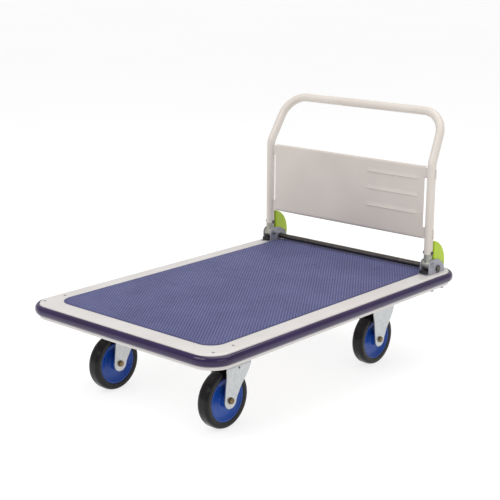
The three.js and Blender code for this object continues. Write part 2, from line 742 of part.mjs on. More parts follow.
function hingeBracket(x) {
  const outline = bracketPlate();
  const inner = BRACKET_INNER;
  const outer = BRACKET_INNER + BRACKET_SHEET;
  const base = box(
    [x - outer, x + outer], [PIVOT.y - BRACKET_FRONT, PIVOT.y + BRACKET_BACK],
    [BRACKET_BASE, BRACKET_BASE + BASE_SHEET],
  );
  const plates = [[-outer, -inner], [inner, outer]].map(
    ([a, b]) => sideways(outline, x + a, x + b),
  );
  const slotRadius = ROD_RADIUS + GAP;
  const slotEnds = [ROD.y, ROD.y + ROD_TRAVEL + GAP];
  const slot = join(
    ...slotEnds.map((y) => borer(slotRadius, x, y, ROD.z)),
    box([x - THROUGH, x + THROUGH], slotEnds, [ROD.z - slotRadius, ROD.z + slotRadius]),
  );
  const lug = box([x - LUG_HALF, x + LUG_HALF], LUG, [BRACKET_BASE + 1, ROD.z + 4]);
  return cut(join(base, lug, ...plates), slot.subtract(lug), pinBore(x));
}

function hingePin(x) {
  const reach = BRACKET_INNER + BRACKET_SHEET + GAP;
  const end = reach + PIN_HEAD;
  return turnedAlongX(evenRod([
    [0, end], [PIN_HEAD_RADIUS, end], [PIN_HEAD_RADIUS, reach], [PIN_RADIUS, reach],
  ]), 16, [x, PIVOT.y, PIVOT.z]);
}

function stopPad(x) {
  const half = BRACKET_INNER - 1;
  const [front, back] = STOP_PAD.map((ahead) => PIVOT.y - ahead);
  const [low, high] = [BRACKET_BASE + BASE_SHEET + GAP, PIVOT.z - TUBE_RADIUS - BARREL_ROOM];
  return cut(box([x - half, x + half], [front, back], [low, high]), barrelBore(x));
}

function lockSpring(x) {
  const [front, back] = [ROD.y + ROD_RADIUS + GAP, LUG[0] - GAP];
  const spring = turned([
    [0, 0], [SPRING_RADIUS, 0], [SPRING_RADIUS, back - front], [0, back - front],
  ], 10);
  return spring.rotate([-90, 0, 0]).translate([x, front, ROD.z - SPRING_DROP]);
}

const hinges = new THREE.Group();
const handle = new THREE.Group();
trolley.add(hinges, handle);
place(handle, 'handle_tube', handleTube(), cream);
place(handle, 'handle_panel', handlePanel(), beige);

for (const [side, sign] of SIDES) {
  const x = sign * LEG_X;
  place(hinges, `hinge_bracket_${side}`, hingeBracket(x), greyPaint);
  place(hinges, `hinge_pin_${side}`, hingePin(x), zinc);
  place(hinges, `stop_pad_${side}`, stopPad(x), blackRubber);
  place(hinges, `lock_spring_${side}`, lockSpring(x), darkSteel);
  place(handle, `handle_foot_${side}`, handleFoot(x), zinc);
  place(handle, `foot_bolt_${side}`, footBolt(x), darkSteel);
  place(handle, `hinge_cover_${side}`, hingeCover(x), green);
  place(handle, `panel_saddle_lower_${side}`, panelSaddle(sign, PANEL_BOTTOM + SADDLE_LIFT), cream);
  place(handle, `panel_saddle_upper_${side}`, panelSaddle(sign, PANEL_TOP - TAB_HEIGHT), cream);
}

// ---- lock release bar ---------------------------------------------------------------------

function releaseBar() {
  const end = LEG_X + BRACKET_INNER + BRACKET_SHEET + 1;
  const outer = end + ROD_HEAD;
  return turnedAlongX(evenRod([
    [0, outer], [ROD_HEAD_RADIUS, outer], [ROD_HEAD_RADIUS, end], [ROD_RADIUS, end],
  ]), 16, [0, ROD.y, ROD.z]);
}

const release = new THREE.Group();
trolley.add(release);
place(release, 'release_bar', releaseBar(), darkSteel);

export default trolley;
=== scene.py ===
"""Platform trolley: its visible pieces, their materials, the studio and the camera.

Sizes are millimetres in the CAD frame: X across the deck, the handle at +Y, +Z up, and the
origin on the floor under the middle of the deck.
"""

import math

import bmesh
import bpy
from mathutils import Matrix, Vector


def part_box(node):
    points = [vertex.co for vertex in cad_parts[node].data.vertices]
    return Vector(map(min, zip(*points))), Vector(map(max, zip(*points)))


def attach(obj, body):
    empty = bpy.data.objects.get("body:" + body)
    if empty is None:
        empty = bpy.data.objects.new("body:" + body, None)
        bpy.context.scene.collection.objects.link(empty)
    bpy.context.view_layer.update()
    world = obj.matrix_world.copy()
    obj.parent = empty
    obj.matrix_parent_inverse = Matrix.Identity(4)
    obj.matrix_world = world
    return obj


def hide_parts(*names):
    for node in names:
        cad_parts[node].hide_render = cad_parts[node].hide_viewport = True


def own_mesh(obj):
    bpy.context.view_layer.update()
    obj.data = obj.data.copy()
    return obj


MM = 0.001
SIDES = (("left", -1), ("right", 1))

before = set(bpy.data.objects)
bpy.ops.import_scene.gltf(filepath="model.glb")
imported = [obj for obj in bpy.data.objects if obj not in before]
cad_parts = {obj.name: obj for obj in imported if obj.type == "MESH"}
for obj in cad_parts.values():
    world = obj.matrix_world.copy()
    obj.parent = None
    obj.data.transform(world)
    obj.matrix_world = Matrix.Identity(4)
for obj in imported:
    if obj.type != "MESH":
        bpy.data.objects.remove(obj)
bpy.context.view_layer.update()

# ---- sizes, read from the CAD model or shared with it --------------------------------------


def corners(node):
    """The low and high corners of a CAD node's box."""
    low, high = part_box(node)
    return [v / MM for v in low], [v / MM for v in high]


def middle_of(node):
    """The middle of a CAD node's box."""
    low, high = corners(node)
    return [(a + b) / 2 for a, b in zip(low, high)]


PAN_LOW, PAN_HIGH = corners("deck_pan")
BUMPER_LOW, BUMPER_HIGH = corners("bumper")
MAT_LOW, MAT_HIGH = corners("deck_mat")
PANEL_LOW, PANEL_HIGH = corners("handle_panel")

GAP = 0.3                      # clearance between pieces that touch
THROUGH = 40                   # how far a cutting tool reaches past the middle of its work

WALL_HALF = (PAN_HIGH[0], PAN_HIGH[1])
WALL_CORNER = 68
DECK_TOP = PAN_HIGH[2]
DECK_BOTTOM = PAN_LOW[2]
SHEET = 2
DECK_RETURN = 16
BUMPER_DEPTH = BUMPER_HIGH[0] - PAN_HIGH[0] - 0.1
BUMPER_MIDDLE = (BUMPER_LOW[2] + BUMPER_HIGH[2]) / 2
BUMPER_HALF_HEIGHT = (BUMPER_HIGH[2] - BUMPER_LOW[2]) / 2 - 0.1
MAT_HALF = (MAT_HIGH[0], (MAT_HIGH[1] - MAT_LOW[1]) / 2)
MAT_MIDDLE = (MAT_HIGH[1] + MAT_LOW[1]) / 2
MAT_CORNER = 52
MAT_TOP = MAT_HIGH[2]
STUD_HALF = (3.3, 4.2)
STUD_PITCH = (10.33, 14.6)     # the rows between are shifted by half of each
STUD_HEIGHT = 0.9

CASTER_X, FRONT_AXLE_Y, WHEEL_RADIUS = middle_of("tyre_front_right")
REAR_AXLE_Y = middle_of("tyre_rear_right")[1]
KINGPIN_Y = middle_of("kingpin_right")[1]
RIGID_Y = middle_of("rear_cross_channel")[1]
MOUNT_HEIGHT = corners("rear_cross_channel")[0][2]
CROWN_BOTTOM = 189.5
PLATE_HALF = (53, 63)
PLATE_SHEET = 5
PLATE_BOLTS = (42, 52)         # from the middle of a plate to its bolts
FORK_EYE = 24.6                # radius of a fork leg around the axle
FORK_SHEET = 3.6
FORK_HALF = 30                 # middle of a caster to the middle of a leg's sheet
FORK_BACK_BOTTOM = 182         # above this a fork's back edge is upright

LEG_X, PIVOT_Y, PIVOT_Z = middle_of("hinge_pin_right")
TUBE_RADIUS = 14.3
TUBE_END = corners("handle_tube")[0][2]
BEND_RADIUS = 60
BEND_HEIGHT = 665              # where the legs' lower and upper lines meet
LEAN = 0.503                   # radians that the upper part leans back
GRIP_HEIGHT = 823.2
GRIP_CORNER = 78
GRIP_TAPER = 0.08
PANEL_HALF = 318
PANEL_BOTTOM = PANEL_LOW[2]
PANEL_TOP = PANEL_HIGH[2]
PANEL_FRONT = 478
PANEL_SHEET = 1.6
PANEL_FLANGE = 12
TAB_HEIGHT = 38
LOWER_TAB_HEIGHT = 44
RIBS = (613, 554.5, 496)
RIB_HEIGHT = 13
RIB_SPAN = (86, 296)

ROD_RADIUS = 9
ROD_Y, ROD_Z = middle_of("release_bar")[1:]
ROD_TRAVEL = 8
LUG_Y = (537, 540)
LUG_HALF = 8
BARREL_RADIUS = 16
BARREL_HALF = 14.4
SPIGOT_RADIUS = 11.7
PIN_RADIUS = 6
COVER_RADIUS = 80.9
COVER_WALL = 2.4
COVER_DROP = (7, 24)           # lower edge below the pivot, ahead of its step and behind it
COVER_STEP = (53, 62)          # where the edge steps down behind the release bar
COVER_BOLT_Z = middle_of("foot_bolt_right")[2]
BRACKET_INNER = 15
BRACKET_OUTER = 18.1
BRACKET_BASE = DECK_TOP + GAP
BRACKET_NOSE = 18
BRACKET_FRONT = 28             # pivot to the front of the base
BRACKET_BACK = 78              # pivot to the back of the base
BASE_SHEET = 3


# ---- materials ----------------------------------------------------------------------------


def linear(color):
    """An sRGB colour of 0 to 255 as linear values with alpha."""
    channels = [c / 255 for c in color]
    return [
        c / 12.92 if c <= 0.04045 else ((c + 0.055) / 1.055) ** 2.4 for c in channels
    ] + [1.0]


class Finish:
    """A Principled material built up from noise in object space."""

    def __init__(self, name, metallic=0.0, coat=0.0, coat_roughness=0.1, specular=0.5):
        self.material = bpy.data.materials.new(name)
        self.material.use_nodes = True
        self.tree = self.material.node_tree
        self.shader = self.tree.nodes["Principled BSDF"]
        self.shader.inputs["Metallic"].default_value = metallic
        self.shader.inputs["Specular IOR Level"].default_value = specular
        self.shader.inputs["Coat Weight"].default_value = coat
        self.shader.inputs["Coat Roughness"].default_value = coat_roughness
        self.place = self.tree.nodes.new("ShaderNodeTexCoord").outputs["Object"]
        self.normal = None

    def noise(self, scale, detail=3.0, stretch=(1, 1, 1)):
        mapping = self.tree.nodes.new("ShaderNodeMapping")
        mapping.inputs["Scale"].default_value = stretch
        node = self.tree.nodes.new("ShaderNodeTexNoise")
        node.inputs["Scale"].default_value = scale
        node.inputs["Detail"].default_value = detail
        self.tree.links.new(self.place, mapping.inputs["Vector"])
        self.tree.links.new(mapping.outputs["Vector"], node.inputs["Vector"])
        return node.outputs["Fac"]

    def cells(self, scale):
        node = self.tree.nodes.new("ShaderNodeTexVoronoi")
        node.inputs["Scale"].default_value = scale
        self.tree.links.new(self.place, node.inputs["Vector"])
        split = self.tree.nodes.new("ShaderNodeSeparateColor")
        self.tree.links.new(node.outputs["Color"], split.inputs["Color"])
        return split.outputs["Red"]

    def color(self, source, first, second, low=0.35, high=0.65):
        ramp = self.tree.nodes.new("ShaderNodeValToRGB")
        ramp.color_ramp.elements[0].position = low
        ramp.color_ramp.elements[1].position = high
        ramp.color_ramp.elements[0].color = linear(first)
        ramp.color_ramp.elements[1].color = linear(second)
        self.tree.links.new(source, ramp.inputs["Fac"])
        self.tree.links.new(ramp.outputs["Color"], self.shader.inputs["Base Color"])
        return self

    def rough(self, source, low, high):
        scaled = self.tree.nodes.new("ShaderNodeMapRange")
        scaled.inputs["From Min"].default_value = 0.3
        scaled.inputs["From Max"].default_value = 0.7
        scaled.inputs["To Min"].default_value = low
        scaled.inputs["To Max"].default_value = high
        self.tree.links.new(source, scaled.inputs["Value"])
        self.tree.links.new(scaled.outputs["Result"], self.shader.inputs["Roughness"])
        return self

    def bump(self, source, height_mm, strength=1.0):
        node = self.tree.nodes.new("ShaderNodeBump")
        node.inputs["Strength"].default_value = strength
        node.inputs["Distance"].default_value = height_mm * MM
        self.tree.links.new(source, node.inputs["Height"])
        if self.normal:
            self.tree.links.new(self.normal, node.inputs["Normal"])
        self.normal = node.outputs["Normal"]
        self.tree.links.new(self.normal, self.shader.inputs["Normal"])
        return self


def painted(name, first, second, coat=0.25, low=0.32, high=0.42, specular=0.5):
    """Baked paint: faint tone drift, satin gloss and orange peel."""
    finish = Finish(name, coat=coat, coat_roughness=0.15, specular=specular)
    finish.color(finish.noise(6), first, second)
    finish.rough(finish.noise(40), low, high)
    finish.bump(finish.noise(420, 1), 0.05)
    return finish.material


def plated(name, first, second, low, high, grain=(1, 1, 1)):
    """Zinc or bare steel: patches of tone, fine scratches along the grain."""
    finish = Finish(name, metallic=1.0)
    finish.color(finish.cells(160), first, second, 0.0, 1.0)
    finish.rough(finish.noise(90, 4, grain), low, high)
    finish.bump(finish.noise(700, 2, grain), 0.03)
    return finish.material


def moulded(name, first, second, low, high, grain_scale, grain_mm, coat=0.0, specular=0.5):
    """Moulded plastic or rubber: tone drift and a fine surface grain."""
    finish = Finish(name, coat=coat, coat_roughness=0.06, specular=specular)
    finish.color(finish.noise(9), first, second)
    finish.rough(finish.noise(55), low, high)
    finish.bump(finish.noise(grain_scale, 2), grain_mm)
    return finish.material


CREAM = painted("cream_paint", (214, 209, 206), (221, 217, 214))
TUBE_CREAM = painted("tube_cream", (214, 205, 196), (220, 212, 203))
BEIGE = painted("beige_paint", (210, 201, 192), (216, 207, 198))
WHEEL_BLUE = painted("wheel_paint", (16, 60, 144), (24, 76, 166), 0.1, 0.26, 0.34, 0.35)
BRACKET_GREY = painted("grey_paint", (148, 148, 160), (164, 163, 172), 0.2)
MAT = moulded("mat_vinyl", (62, 63, 108), (68, 70, 116), 0.5, 0.62, 900, 0.06)
# The studs are the mat's own vinyl in a lighter tone: a painted highlight standing in for light
# catching their tops.
STUDS_PAINTED_HIGHLIGHT = moulded("mat_studs_painted_highlight", (100, 102, 148), (108, 110, 156), 0.42, 0.54, 900, 0.04)
BUMPER = moulded("bumper_vinyl", (34, 14, 62), (40, 20, 72), 0.12, 0.18, 60, 0.05, 0.3, 0.35)
TYRE = moulded("tyre_rubber", (10, 7, 9), (15, 11, 13), 0.2, 0.3, 500, 0.03, 0.0, 0.3)
RUBBER = moulded("black_rubber", (24, 24, 26), (34, 34, 36), 0.55, 0.7, 600, 0.08)
GREEN = moulded("green_plastic", (172, 200, 30), (182, 210, 40), 0.34, 0.44, 800, 0.05)
ZINC = plated("zinc_steel", (190, 193, 194), (201, 203, 204), 0.34, 0.44)
FOOT_METAL = plated("cast_foot", (170, 170, 160), (182, 182, 172), 0.45, 0.56)
PIN_STEEL = plated("pin_steel", (140, 140, 148), (158, 158, 164), 0.34, 0.46)
DARK_STEEL = plated("dark_steel", (84, 80, 78), (104, 99, 96), 0.3, 0.46)
BRASS = plated("yellow_zinc", (124, 106, 80), (144, 126, 96), 0.32, 0.44)
SPRING_STEEL = plated("spring_steel", (128, 128, 132), (150, 150, 154), 0.25, 0.4)

# ---- mesh helpers -------------------------------------------------------------------------


def round_edges(bm, width, segments, angle):
    """Bevels every edge that is sharper than angle, by width in millimetres."""
    sharp = [
        e for e in bm.edges
        if len(e.link_faces) == 2 and e.calc_face_angle() > math.radians(angle)
    ]
    bmesh.ops.bevel(
        bm, geom=sharp, offset=width * MM, segments=segments, profile=0.5,
        affect="EDGES", clamp_overlap=True,
    )


def raw_mesh(name, verts, faces, soft=0.0):
    """A mesh from millimetre points, with its sharp edges rounded by soft."""
    mesh = bpy.data.meshes.new(name)
    mesh.from_pydata([Vector(v) * MM for v in verts], [], faces)
    bm = bmesh.new()
    bm.from_mesh(mesh)
    bmesh.ops.remove_doubles(bm, verts=bm.verts, dist=1e-7)
    bmesh.ops.recalc_face_normals(bm, faces=bm.faces)
    if soft:
        round_edges(bm, soft, 2, 40)
    bm.to_mesh(mesh)
    bm.free()
    return mesh


def shade(mesh, smooth=35):
    """Smooth shading, with a crease wherever faces meet at more than smooth degrees."""
    mesh.shade_smooth()
    mesh.set_sharp_from_angle(angle=math.radians(smooth))


def make(name, verts, faces, material, body, replaces=(), soft=0.0, smooth=35):
    """A mesh piece in its material, riding on body and standing in for CAD nodes."""
    mesh = raw_mesh(name, verts, faces, soft)
    mesh.materials.append(material)
    shade(mesh, smooth)
    piece = bpy.data.objects.new(name, mesh)
    bpy.context.collection.objects.link(piece)
    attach(piece, body)
    if replaces:
        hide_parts(*replaces)
    return piece


def rounded(path, closed=True, steps=5):
    """A polyline through (u, v) or (u, v, radius) corners, each radius turned into an arc."""
    points = []
    count = len(path)
    for i, corner in enumerate(path):
        here = Vector(corner[:2])
        radius = corner[2] if len(corner) > 2 else 0
        if not radius or (not closed and i in (0, count - 1)):
            points.append(tuple(here))
            continue
        back = (Vector(path[i - 1][:2]) - here).normalized()
        ahead = (Vector(path[(i + 1) % count][:2]) - here).normalized()
        half = back.angle(ahead) / 2
        centre = here + (back + ahead).normalized() * radius / math.sin(half)
        start = here + back * radius / math.tan(half) - centre
        end = here + ahead * radius / math.tan(half) - centre
        first = math.atan2(start.y, start.x)
        turn = (math.atan2(end.y, end.x) - first + math.pi) % (2 * math.pi) - math.pi
        for k in range(steps + 1):
            angle = first + turn * k / steps
            points.append((
                centre.x + radius * math.cos(angle), centre.y + radius * math.sin(angle),
            ))
    return points


def loft(rings, closed=False, caps=True):
    """Points and faces of a skin over rings of equally many points."""
    sides = len(rings[0])
    verts = [p for ring in rings for p in ring]
    faces = []
    for i in range(len(rings) if closed else len(rings) - 1):
        low, high = i * sides, (i + 1) % len(rings) * sides
        for k in range(sides):
            after = (k + 1) % sides
            faces.append((low + k, low + after, high + after, high + k))
    if caps and not closed:
        faces.append(tuple(reversed(range(sides))))
        faces.append(tuple(range(len(verts) - sides, len(verts))))
    return verts, faces


AXES = {
    "X": Matrix(((0, 0, 1), (0, 1, 0), (-1, 0, 0))),
    "Y": Matrix(((1, 0, 0), (0, 0, 1), (0, -1, 0))),
    "Z": Matrix.Identity(3),
}


def turned(profile, centre, axis="X", steps=64, closed=True):
    """Points and faces of [radius, height] pairs turned about an axis through centre."""
    rings = []
    for radius, height in profile:
        rings.append([
            AXES[axis] @ Vector((
                radius * math.cos(2 * math.pi * k / steps),
                radius * math.sin(2 * math.pi * k / steps), height,
            )) + Vector(centre) for k in range(steps)
        ])
    return loft(rings, closed=closed, caps=False)


def both(*parts):
    """Several (points, faces) pairs as one."""
    verts, faces = [], []
    for more_verts, more_faces in parts:
        start = len(verts)
        verts += [tuple(v) for v in more_verts]
        faces += [tuple(start + i for i in face) for face in more_faces]
    return verts, faces


def box_outline(u0, u1, v0, v1):
    return [(u0, v0), (u1, v0), (u1, v1), (u0, v1)]


def extruded(outline, w0, w1, plane):
    """A closed outline carried from w0 to w1 along the axis that plane leaves out."""
    order = {"YZ": (2, 0, 1), "XZ": (0, 2, 1), "XY": (0, 1, 2)}[plane]
    rings = []
    for w in (w0, w1):
        ring = []
        for u, v in outline:
            point = (u, v, w)
            ring.append(tuple(point[i] for i in order))
        rings.append(ring)
    return loft(rings)


def shell(grid, thickness):
    """Points and faces of a sheet of a thickness about a grid of middle points."""
    rows, columns = len(grid), len(grid[0])
    skins = [[], []]
    for i in range(rows):
        for j in range(columns):
            along = Vector(grid[min(i + 1, rows - 1)][j]) - Vector(grid[max(i - 1, 0)][j])
            across = Vector(grid[i][min(j + 1, columns - 1)]) - Vector(grid[i][max(j - 1, 0)])
            normal = along.cross(across).normalized() * thickness / 2
            skins[0].append(Vector(grid[i][j]) + normal)
            skins[1].append(Vector(grid[i][j]) - normal)
    count = rows * columns
    faces = []
    for i in range(rows - 1):
        for j in range(columns - 1):
            a, b = i * columns + j, (i + 1) * columns + j
            faces.append((a, b, b + 1, a + 1))
            faces.append((count + a + 1, count + b + 1, count + b, count + a))
    rim = list(range(columns))
    rim += [i * columns + columns - 1 for i in range(1, rows)]
    rim += [(rows - 1) * columns + j for j in range(columns - 2, -1, -1)]
    rim += [i * columns for i in range(rows - 2, 0, -1)]
    for k, here in enumerate(rim):
        there = rim[(k + 1) % len(rim)]
        faces.append((here, there, count + there, count + here))
    return skins[0] + skins[1], faces


def boolean(piece, tools, operation="DIFFERENCE"):
    """Cuts the tool meshes from a piece, or joins them to it, and removes the tools."""
    for verts, faces in tools:
        mesh = raw_mesh("tool", verts, faces)
        tool = bpy.data.objects.new("tool", mesh)
        bpy.context.collection.objects.link(tool)
        step = piece.modifiers.new("cut", "BOOLEAN")
        step.operation = operation
        step.solver = "EXACT"
        step.object = tool
        depsgraph = bpy.context.evaluated_depsgraph_get()
        result = bpy.data.meshes.new_from_object(piece.evaluated_get(depsgraph))
        piece.modifiers.clear()
        old = piece.data
        piece.data = result
        bpy.data.meshes.remove(old)
        bpy.data.objects.remove(tool)
        bpy.data.meshes.remove(mesh)


def soften(piece, width, segments=2, angle=40):
    """Rounds every edge of a finished piece that is sharper than angle."""
    bm = bmesh.new()
    bm.from_mesh(piece.data)
    bmesh.ops.remove_doubles(bm, verts=bm.verts, dist=2e-5)
    bmesh.ops.dissolve_limit(
        bm, angle_limit=math.radians(1), verts=bm.verts, edges=bm.edges,
    )
    round_edges(bm, width, segments, angle)
    bm.to_mesh(piece.data)
    bm.free()
    shade(piece.data)


# ---- fasteners ----------------------------------------------------------------------------


def hexagon(size, height, centre, axis, flip=1):
    """Points and faces of a hex nut or bolt head, size across its flats, chamfered on top."""
    steps, flat = 36, size / 2
    profile = []
    for k in range(steps):
        angle = 2 * math.pi * k / steps
        away = (angle + math.pi / 6) % (math.pi / 3) - math.pi / 6
        profile.append((angle, flat / math.cos(away)))
    rings = []
    for share, level in ((0, 0), (1, 0), (1, None), (0.93, height), (0, height)):
        ring = []
        for angle, corner in profile:
            radius = corner if share == 1 else flat * share
            up = height - (corner - flat * 0.93) * 0.55 if level is None else level
            point = Vector((radius * math.cos(angle), radius * math.sin(angle), flip * up))
            ring.append(AXES[axis] @ point + Vector(centre))
        rings.append(ring)
    return loft(rings, caps=False)


def dome(radius, height, centre, axis, flip=1, steps=24):
    """Points and faces of a low round head sitting at centre."""
    profile = [(0, 0), (radius, 0), (radius, height * 0.25)]
    for k in range(1, 5):
        angle = math.pi / 2 * k / 4
        profile.append((
            radius * math.cos(angle), height * (0.25 + 0.75 * math.sin(angle)),
        ))
    return turned([(r, flip * h) for r, h in profile], centre, axis, steps, closed=False)


def disc(radius, height, centre, axis, flip=1, steps=32, edge=0.4):
    """Points and faces of a washer or short shaft with a softened rim."""
    profile = [
        (0, 0), (radius - edge, 0), (radius, edge), (radius, height - edge),
        (radius - edge, height), (0, height),
    ]
    return turned([(r, flip * h) for r, h in profile], centre, axis, steps, closed=False)


def shaft(radius, half, centre, steps):
    """Points and faces of a plain rod along X, half to each side of centre."""
    profile = [(0, -half), (radius, -half), (radius, half), (0, half)]
    return turned(profile, centre, "X", steps, closed=False)


# ---- deck, bumper and mat -----------------------------------------------------------------


def rectangle_ring(half, corner, out, level, middle=0, steps=16):
    """A rounded rectangle of points, grown by out, at a height."""
    ring = []
    for sx, sy, start in ((1, -1, -0.5), (1, 1, 0), (-1, 1, 0.5), (-1, -1, 1)):
        for k in range(steps + 1):
            angle = math.pi * (start + k / (2 * steps))
            ring.append((
                sx * (half[0] - corner) + (corner + out) * math.cos(angle),
                sy * (half[1] - corner) + (corner + out) * math.sin(angle) + middle,
                level,
            ))
    return ring


def build_deck():
    section = rounded([
        (-30, DECK_TOP), (0, DECK_TOP, 10.5), (0, DECK_BOTTOM, 4),
        (-DECK_RETURN, DECK_BOTTOM, 0.6), (-DECK_RETURN, DECK_BOTTOM + SHEET, 0.6),
        (-SHEET, DECK_BOTTOM + SHEET, 2), (-SHEET, DECK_TOP - SHEET, 8.5),
        (-30, DECK_TOP - SHEET),
    ], closed=False, steps=6)
    rings = [rectangle_ring(WALL_HALF, WALL_CORNER, out, level) for out, level in section]
    make("deck_pan_pressed", *loft(rings), CREAM, "deck", ["deck_pan"])


def build_bumper():
    steps, section = 28, []
    for k in range(steps + 1):
        angle = math.pi * k / steps
        out, up = abs(math.sin(angle)) ** 0.9, math.cos(angle)
        section.append((
            0.35 + (BUMPER_DEPTH - 0.35) * out, BUMPER_MIDDLE + BUMPER_HALF_HEIGHT * up,
        ))
    rings = [rectangle_ring(WALL_HALF, WALL_CORNER, out, level) for out, level in section]
    make("bumper_strip", *loft(rings, closed=True), BUMPER, "deck", ["bumper"], smooth=60)


def lozenge(x, y, base, top):
    """A low four-sided stud with a flat top, longer in Y."""
    rings = []
    for scale, level in ((1.0, base), (0.6, top)):
        across, along = (half * scale for half in STUD_HALF)
        rings.append([
            (x + across, y, level), (x, y + along, level),
            (x - across, y, level), (x, y - along, level),
        ])
    return loft(rings)


def inside_mat(x, y, margin):
    """Whether a point lies on the mat, at least margin from its edge."""
    dx = abs(x) - (MAT_HALF[0] - MAT_CORNER)
    dy = abs(y - MAT_MIDDLE) - (MAT_HALF[1] - MAT_CORNER)
    if dx > 0 and dy > 0:
        return math.hypot(dx, dy) < MAT_CORNER - margin
    return max(dx, dy) < MAT_CORNER - margin


def build_mat():
    base = MAT_TOP - STUD_HEIGHT
    section = [(-1.2, DECK_TOP + GAP), (0, DECK_TOP + GAP)]
    section += [(0, base - 0.7), (-0.3, base - 0.2), (-1.0, base)]
    rings = [
        rectangle_ring(MAT_HALF, MAT_CORNER, out, level, MAT_MIDDLE)
        for out, level in section
    ]
    make("deck_mat_sheet", *loft(rings), MAT, "deck", ["deck_mat"])
    pitch_x, pitch_y = STUD_PITCH
    studs = []
    rows, columns = int(MAT_HALF[1] / pitch_y * 2) + 1, int(MAT_HALF[0] / pitch_x) + 1
    for i in range(-rows, rows + 1):
        for j in range(-columns, columns + 1):
            x = (j + (i % 2) / 2) * pitch_x
            y = MAT_MIDDLE + i * pitch_y / 2
            if inside_mat(x, y, margin=7):
                studs.append(lozenge(x, y, base - 0.25, MAT_TOP))
    # The studs' lighter tone is a painted highlight on their tops.
    make("deck_mat_studs", *both(*studs), STUDS_PAINTED_HIGHLIGHT, "deck", smooth=20)


def build_rim_rivets():
    heads = []
    for sign in (-1, 1):
        for y in (-568, -489):
            heads.append(dome(4.2, 1.3, (sign * 351, y, DECK_TOP), "Z"))
    make("rim_rivets", *both(*heads), PIN_STEEL, "deck")


def build_flange_nuts():
    nuts = []
    for _, sign in SIDES:
        for y in (PIVOT_Y - 17, PIVOT_Y + 43):
            nuts.append(hexagon(11, 5, (sign * (WALL_HALF[0] - 9), y, DECK_BOTTOM), "Z", -1))
    make("flange_nuts", *both(*nuts), PIN_STEEL, "deck")


# ---- wheels -------------------------------------------------------------------------------


def mirrored(side):
    """A closed turned profile from its half at positive heights, innermost point first."""
    return side + [(r, -h) for r, h in reversed(side)]


def build_wheel(name, body, fork_body, centre):
    tread = rounded([
        (67.3, 0), (67.3, 18.6, 0.5), (70.5, 19.4, 1.0), (78, 20.4, 4), (85.2, 19.4, 5),
        (88.4, 11, 9), (88.5, 0),
    ], closed=False, steps=6)
    make(
        f"tyre_{name}_moulded", *turned(mirrored(tread), centre, steps=96), TYRE, body,
        [f"tyre_{name}"], smooth=50,
    )
    dish = rounded([
        (15.3, 0), (15.3, 25, 0.6), (22.6, 25, 1.6), (23.6, 9.5, 3.5), (48, 6.6, 30),
        (61, 14.5, 8), (63.2, 18.4, 1.4), (66.9, 18.4, 0.8), (66.9, 0),
    ], closed=False, steps=6)
    make(
        f"wheel_disc_{name}_pressed", *turned(mirrored(dish), centre, steps=96),
        WHEEL_BLUE, body, [f"wheel_disc_{name}"], smooth=50,
    )
    ring = rounded([
        (6.4, 0), (6.4, 24.8, 0.5), (8.6, 24.8, 0.4), (9.0, 23.6, 0.4), (12.6, 23.6, 0.4),
        (13.0, 24.9, 0.4), (15.0, 24.9, 0.4), (15.0, 0),
    ], closed=False, steps=3)
    make(
        f"hub_bearing_{name}_sealed", *turned(mirrored(ring), centre, steps=48),
        DARK_STEEL, body, [f"hub_bearing_{name}"],
    )
    build_axle(name, fork_body, Vector(centre))


def build_axle(name, body, centre):
    """The axle bolt, a washer and nut on each leg, and the bolt's end outside the right nut."""
    leg, washer, nut = 32.3, 1.6, 5.4
    parts = [shaft(6, 34, centre, 32)]
    for flip in (-1, 1):
        face = centre + Vector((flip * leg, 0, 0))
        parts.append(disc(10.2, washer, face, "X", flip))
        parts.append(hexagon(16, nut, face + Vector((flip * washer, 0, 0)), "X", flip))
    end = centre + Vector((38.6, 0, 0))
    parts.append(disc(4.8, 1.7, end, "X", edge=0.7))
    make(f"axle_bolt_{name}_set", *both(*parts), BRASS, body, [f"axle_bolt_{name}"])


# ---- forks --------------------------------------------------------------------------------


def fork_section(x, crown, corner=9):
    """Points (x, z, outward) up one leg, across the crown and down the other."""
    bottom = WHEEL_RADIUS - FORK_EYE
    levels = [bottom + up for up in (0.6, 1.6, 3.4, 6.5, 11, 17)] + [WHEEL_RADIUS]
    top = crown - corner
    count = 14
    levels += [WHEEL_RADIUS + (top - WHEEL_RADIUS) * k / count for k in range(1, count + 1)]
    leg = [(x - FORK_HALF, z, (-1, 0)) for z in levels]
    for k in range(1, 6):
        angle = math.pi / 2 * k / 5
        leg.append((
            x - FORK_HALF + corner * (1 - math.cos(angle)), top + corner * math.sin(angle),
            (-math.cos(angle), math.sin(angle)),
        ))
    other = [(2 * x - px, pz, (-out[0], out[1])) for px, pz, out in reversed(leg)]
    return leg + other


